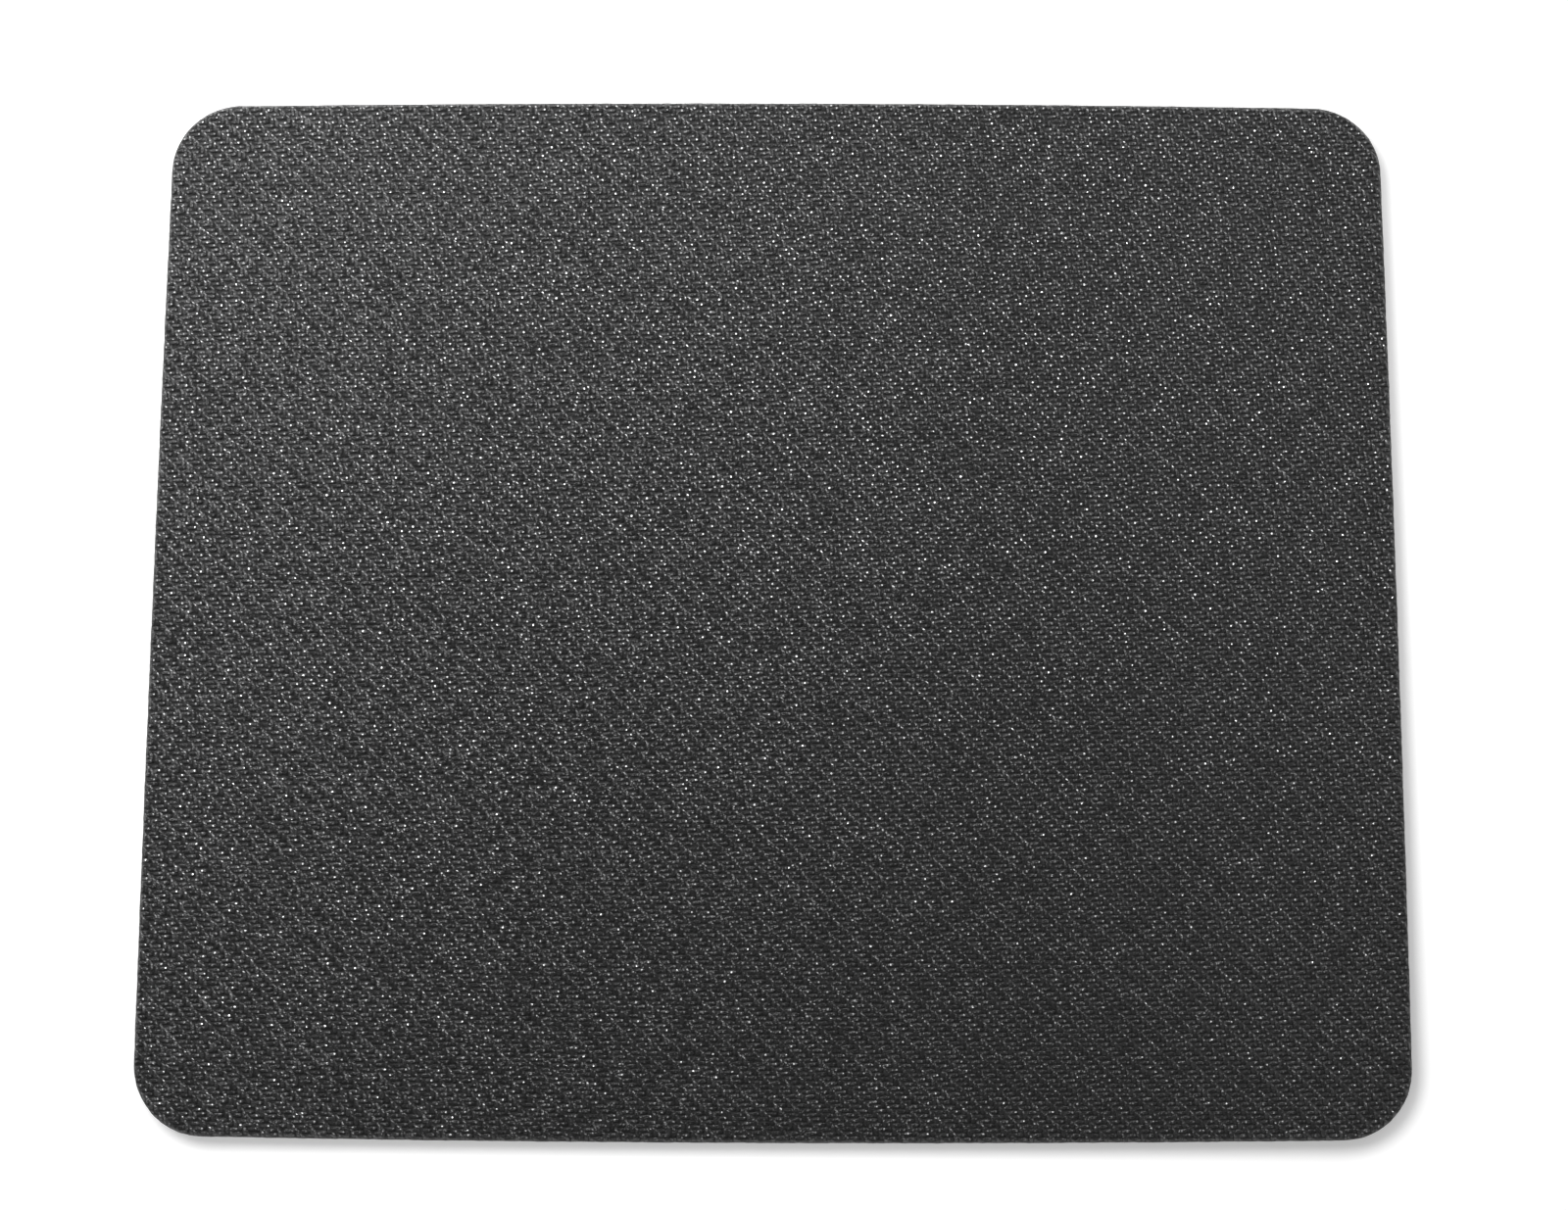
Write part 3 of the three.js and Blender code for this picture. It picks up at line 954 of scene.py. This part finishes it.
# White paper; seen directly it has a glow of its own that grows away from the pad, so that it ends up white
# around the shadow. From below it is clear, so that the sole can be seen.
def floorMaterial():
    material, tree, shader = newMaterial("studio floor")
    feed(tree, shader.inputs["Specular IOR Level"], 0.0)
    feed(tree, shader.inputs["Roughness"], 1.0)
    feed(tree, shader.inputs["Base Color"], floorLook["colour"])
    feed(tree, shader.inputs["Emission Color"], (1, 1, 1, 1))
    ray = addNode(tree, "ShaderNodeLightPath").outputs
    seen = calc(tree, "MAXIMUM", ray["Is Camera Ray"], ray["Is Glossy Ray"])
    seen = calc(tree, "MAXIMUM", seen, ray["Is Transmission Ray"])
    place = splitVector(tree, objectPoint(tree))
    past = [calc(tree, "SUBTRACT", calc(tree, "ABSOLUTE", way), corner)
            for way, corner in zip(place, (cornerX, cornerY))]
    pastX, pastY = (calc(tree, "MAXIMUM", way, 0.0) for way in past)
    outside = calc(tree, "SUBTRACT", flatLength(tree, pastX, pastY), cut["cornerRadius"])
    nearFrom, nearTo, nearGrowth = floorLook["glowNear"]
    farFrom, farTo, farGrowth = floorLook["glowFar"]
    glow = easeBetween(tree, outside, nearFrom, nearTo, floorLook["glow"], floorLook["glow"] + nearGrowth)
    glow = calc(tree, "ADD", glow, easeBetween(tree, outside, farFrom, farTo, 0.0, farGrowth))
    feed(tree, shader.inputs["Emission Strength"], calc(tree, "MULTIPLY", seen, glow))
    behind = addNode(tree, "ShaderNodeNewGeometry").outputs["Backfacing"]
    feed(tree, shader.inputs["Alpha"], calc(tree, "SUBTRACT", 1.0, behind))
    return material


# A wide ring that ends just under the pad's edge, so that light from below reaches the sole
def makeFloor():
    count = floorLook["aroundCut"]
    insets = np.array([[-floorLook["reach"]], [floorLook["under"]]])
    points = ringPoints(cutPath(count), insets, np.zeros((2, 1))).reshape(-1, 3)
    mesh = bpy.data.meshes.new("floor")
    mesh.from_pydata(points.tolist(), [], ringFaces(2, count).tolist())
    mesh.materials.append(floorMaterial())
    floor = bpy.data.objects.new("floor", mesh)
    bpy.context.scene.collection.objects.link(floor)


makeFloor()


# Light: a soft round lamp near the upper left, a second one beyond the far edge that fills in without a
# shadow, and a dome that is pale at the horizon and dim overhead. A lamp's level is the share of full
# white that it gives a white sheet at the pad's middle.
light = {
    "nearFrom": (-0.46, 0.38, 1.0),
    "nearDistance": 0.377,
    "nearLevel": 0.60,
    "farFrom": (-0.45, 1.36, 1.0),
    "farDistance": 0.385,
    "farLevel": 0.45,
    "spread": 29,                   # degrees across, seen from the pad
    "horizon": 0.7,
    "overhead": 0.04,
    "lowness": 5.0,                 # how close to the horizon the pale band keeps
    "beneath": 0.5,                 # only the sole sees this
    "beneathFrom": (-0.1, -0.6),    # how steeply down it begins, and is full
    "beneathSides": (0.6, -0.6),    # from the right to the left it goes
    "beneathShares": (0.1, 1.9),    # from this share to that one
}


# Right, up and back of a thing that looks down from the direction back, with its up nearest to +Y
def lookAxes(back):
    back = back / np.linalg.norm(back)
    right = np.cross((0, 1, 0), back)
    right = right / np.linalg.norm(right)
    return right, np.cross(back, right), back


# An object at a place, turned to three axes
def putThing(name, data, place, right, up, back):
    turn = Matrix(np.stack([right, up, back], axis=1).tolist()).to_4x4()
    thing = bpy.data.objects.new(name, data)
    thing.matrix_world = Matrix.Translation(place.tolist()) @ turn
    bpy.context.scene.collection.objects.link(thing)
    return thing


# A disk lamp that faces the pad's middle. It lights a white sheet square to it by its power over
# (pi times distance) squared, and the level pad by that times the slant.
def placeLamp(name, origin, distance, level):
    right, up, back = lookAxes(np.array(origin))
    lamp = bpy.data.lights.new(name, "AREA")
    lamp.shape = "DISK"
    lamp.size = 2 * distance * math.tan(math.radians(light["spread"]) / 2)
    lamp.energy = level * (math.pi * distance) ** 2 / back[2]
    placed = putThing(name, lamp, back * distance, right, up, back)
    placed.visible_camera = False
    return lamp


# Two lamps and a dome. The dome's strength goes from overhead to horizon with a power of 1 less the square
# of the direction's height, and from below comes a light that is stronger from the left.
def makeLight():
    placeLamp("near_lamp", light["nearFrom"], light["nearDistance"], light["nearLevel"])
    fill = placeLamp("far_lamp", light["farFrom"], light["farDistance"], light["farLevel"])
    fill.use_shadow = False
    world = bpy.data.worlds.new("studio dome")
    world.use_nodes = True
    tree = world.node_tree
    direction = splitVector(tree, addNode(tree, "ShaderNodeTexCoord").outputs["Generated"])
    low = calc(tree, "SUBTRACT", 1.0, calc(tree, "MULTIPLY", direction["Z"], direction["Z"]))
    low = calc(tree, "POWER", low, light["lowness"])
    level = calc(tree, "MULTIPLY_ADD", low, light["horizon"] - light["overhead"], light["overhead"])
    beneath = easeBetween(tree, direction["Z"], *light["beneathFrom"], 0.0, light["beneath"])
    leftward = easeBetween(tree, direction["X"], *light["beneathSides"], *light["beneathShares"])
    level = calc(tree, "ADD", level, calc(tree, "MULTIPLY", beneath, leftward))
    seen = addNode(tree, "ShaderNodeLightPath").outputs["Is Camera Ray"]
    background = tree.nodes["Background"].inputs
    feed(tree, background["Strength"], calc(tree, "MAXIMUM", level, seen))
    feed(tree, background["Color"], (1, 1, 1, 1))
    bpy.context.scene.world = world


makeLight()


# Camera: nearly overhead, as in the photograph; the aim lies in the plane of the cut's upper edge
view = {
    "lens": 40.5,
    "sensorWidth": 36.0,
    "distance": 332.9 * mm,
    "tilt": math.radians(6.33),
    "yaw": math.radians(0.11),
    "roll": math.radians(0.18),
    "aim": (1.84 * mm, 0.24 * mm),
    "nearest": 0.01,
    "farthest": 100,
}


# Back is the upright turned by tilt and yaw; right and up are then turned about it by the roll
def makeCamera():
    tilt = view["tilt"]
    yaw = view["yaw"]
    roll = view["roll"]
    backward = np.array([math.sin(yaw) * math.cos(tilt), -math.sin(tilt), math.cos(yaw) * math.cos(tilt)])
    right, up, back = lookAxes(backward)
    turnedRight = math.cos(roll) * right + math.sin(roll) * up
    turnedUp = math.cos(roll) * up - math.sin(roll) * right
    place = np.array([*view["aim"], clothTop - clothTopDrop]) + back * view["distance"]
    lens = bpy.data.cameras.new("camera")
    lens.lens = view["lens"]
    lens.sensor_width = view["sensorWidth"]
    lens.sensor_fit = "HORIZONTAL"
    lens.clip_start = view["nearest"]
    lens.clip_end = view["farthest"]
    bpy.context.scene.camera = putThing("camera", lens, place, turnedRight, turnedUp, back)


makeCamera()
bpy.context.scene.view_settings.view_transform = "Standard"
print("floor, light and camera set")
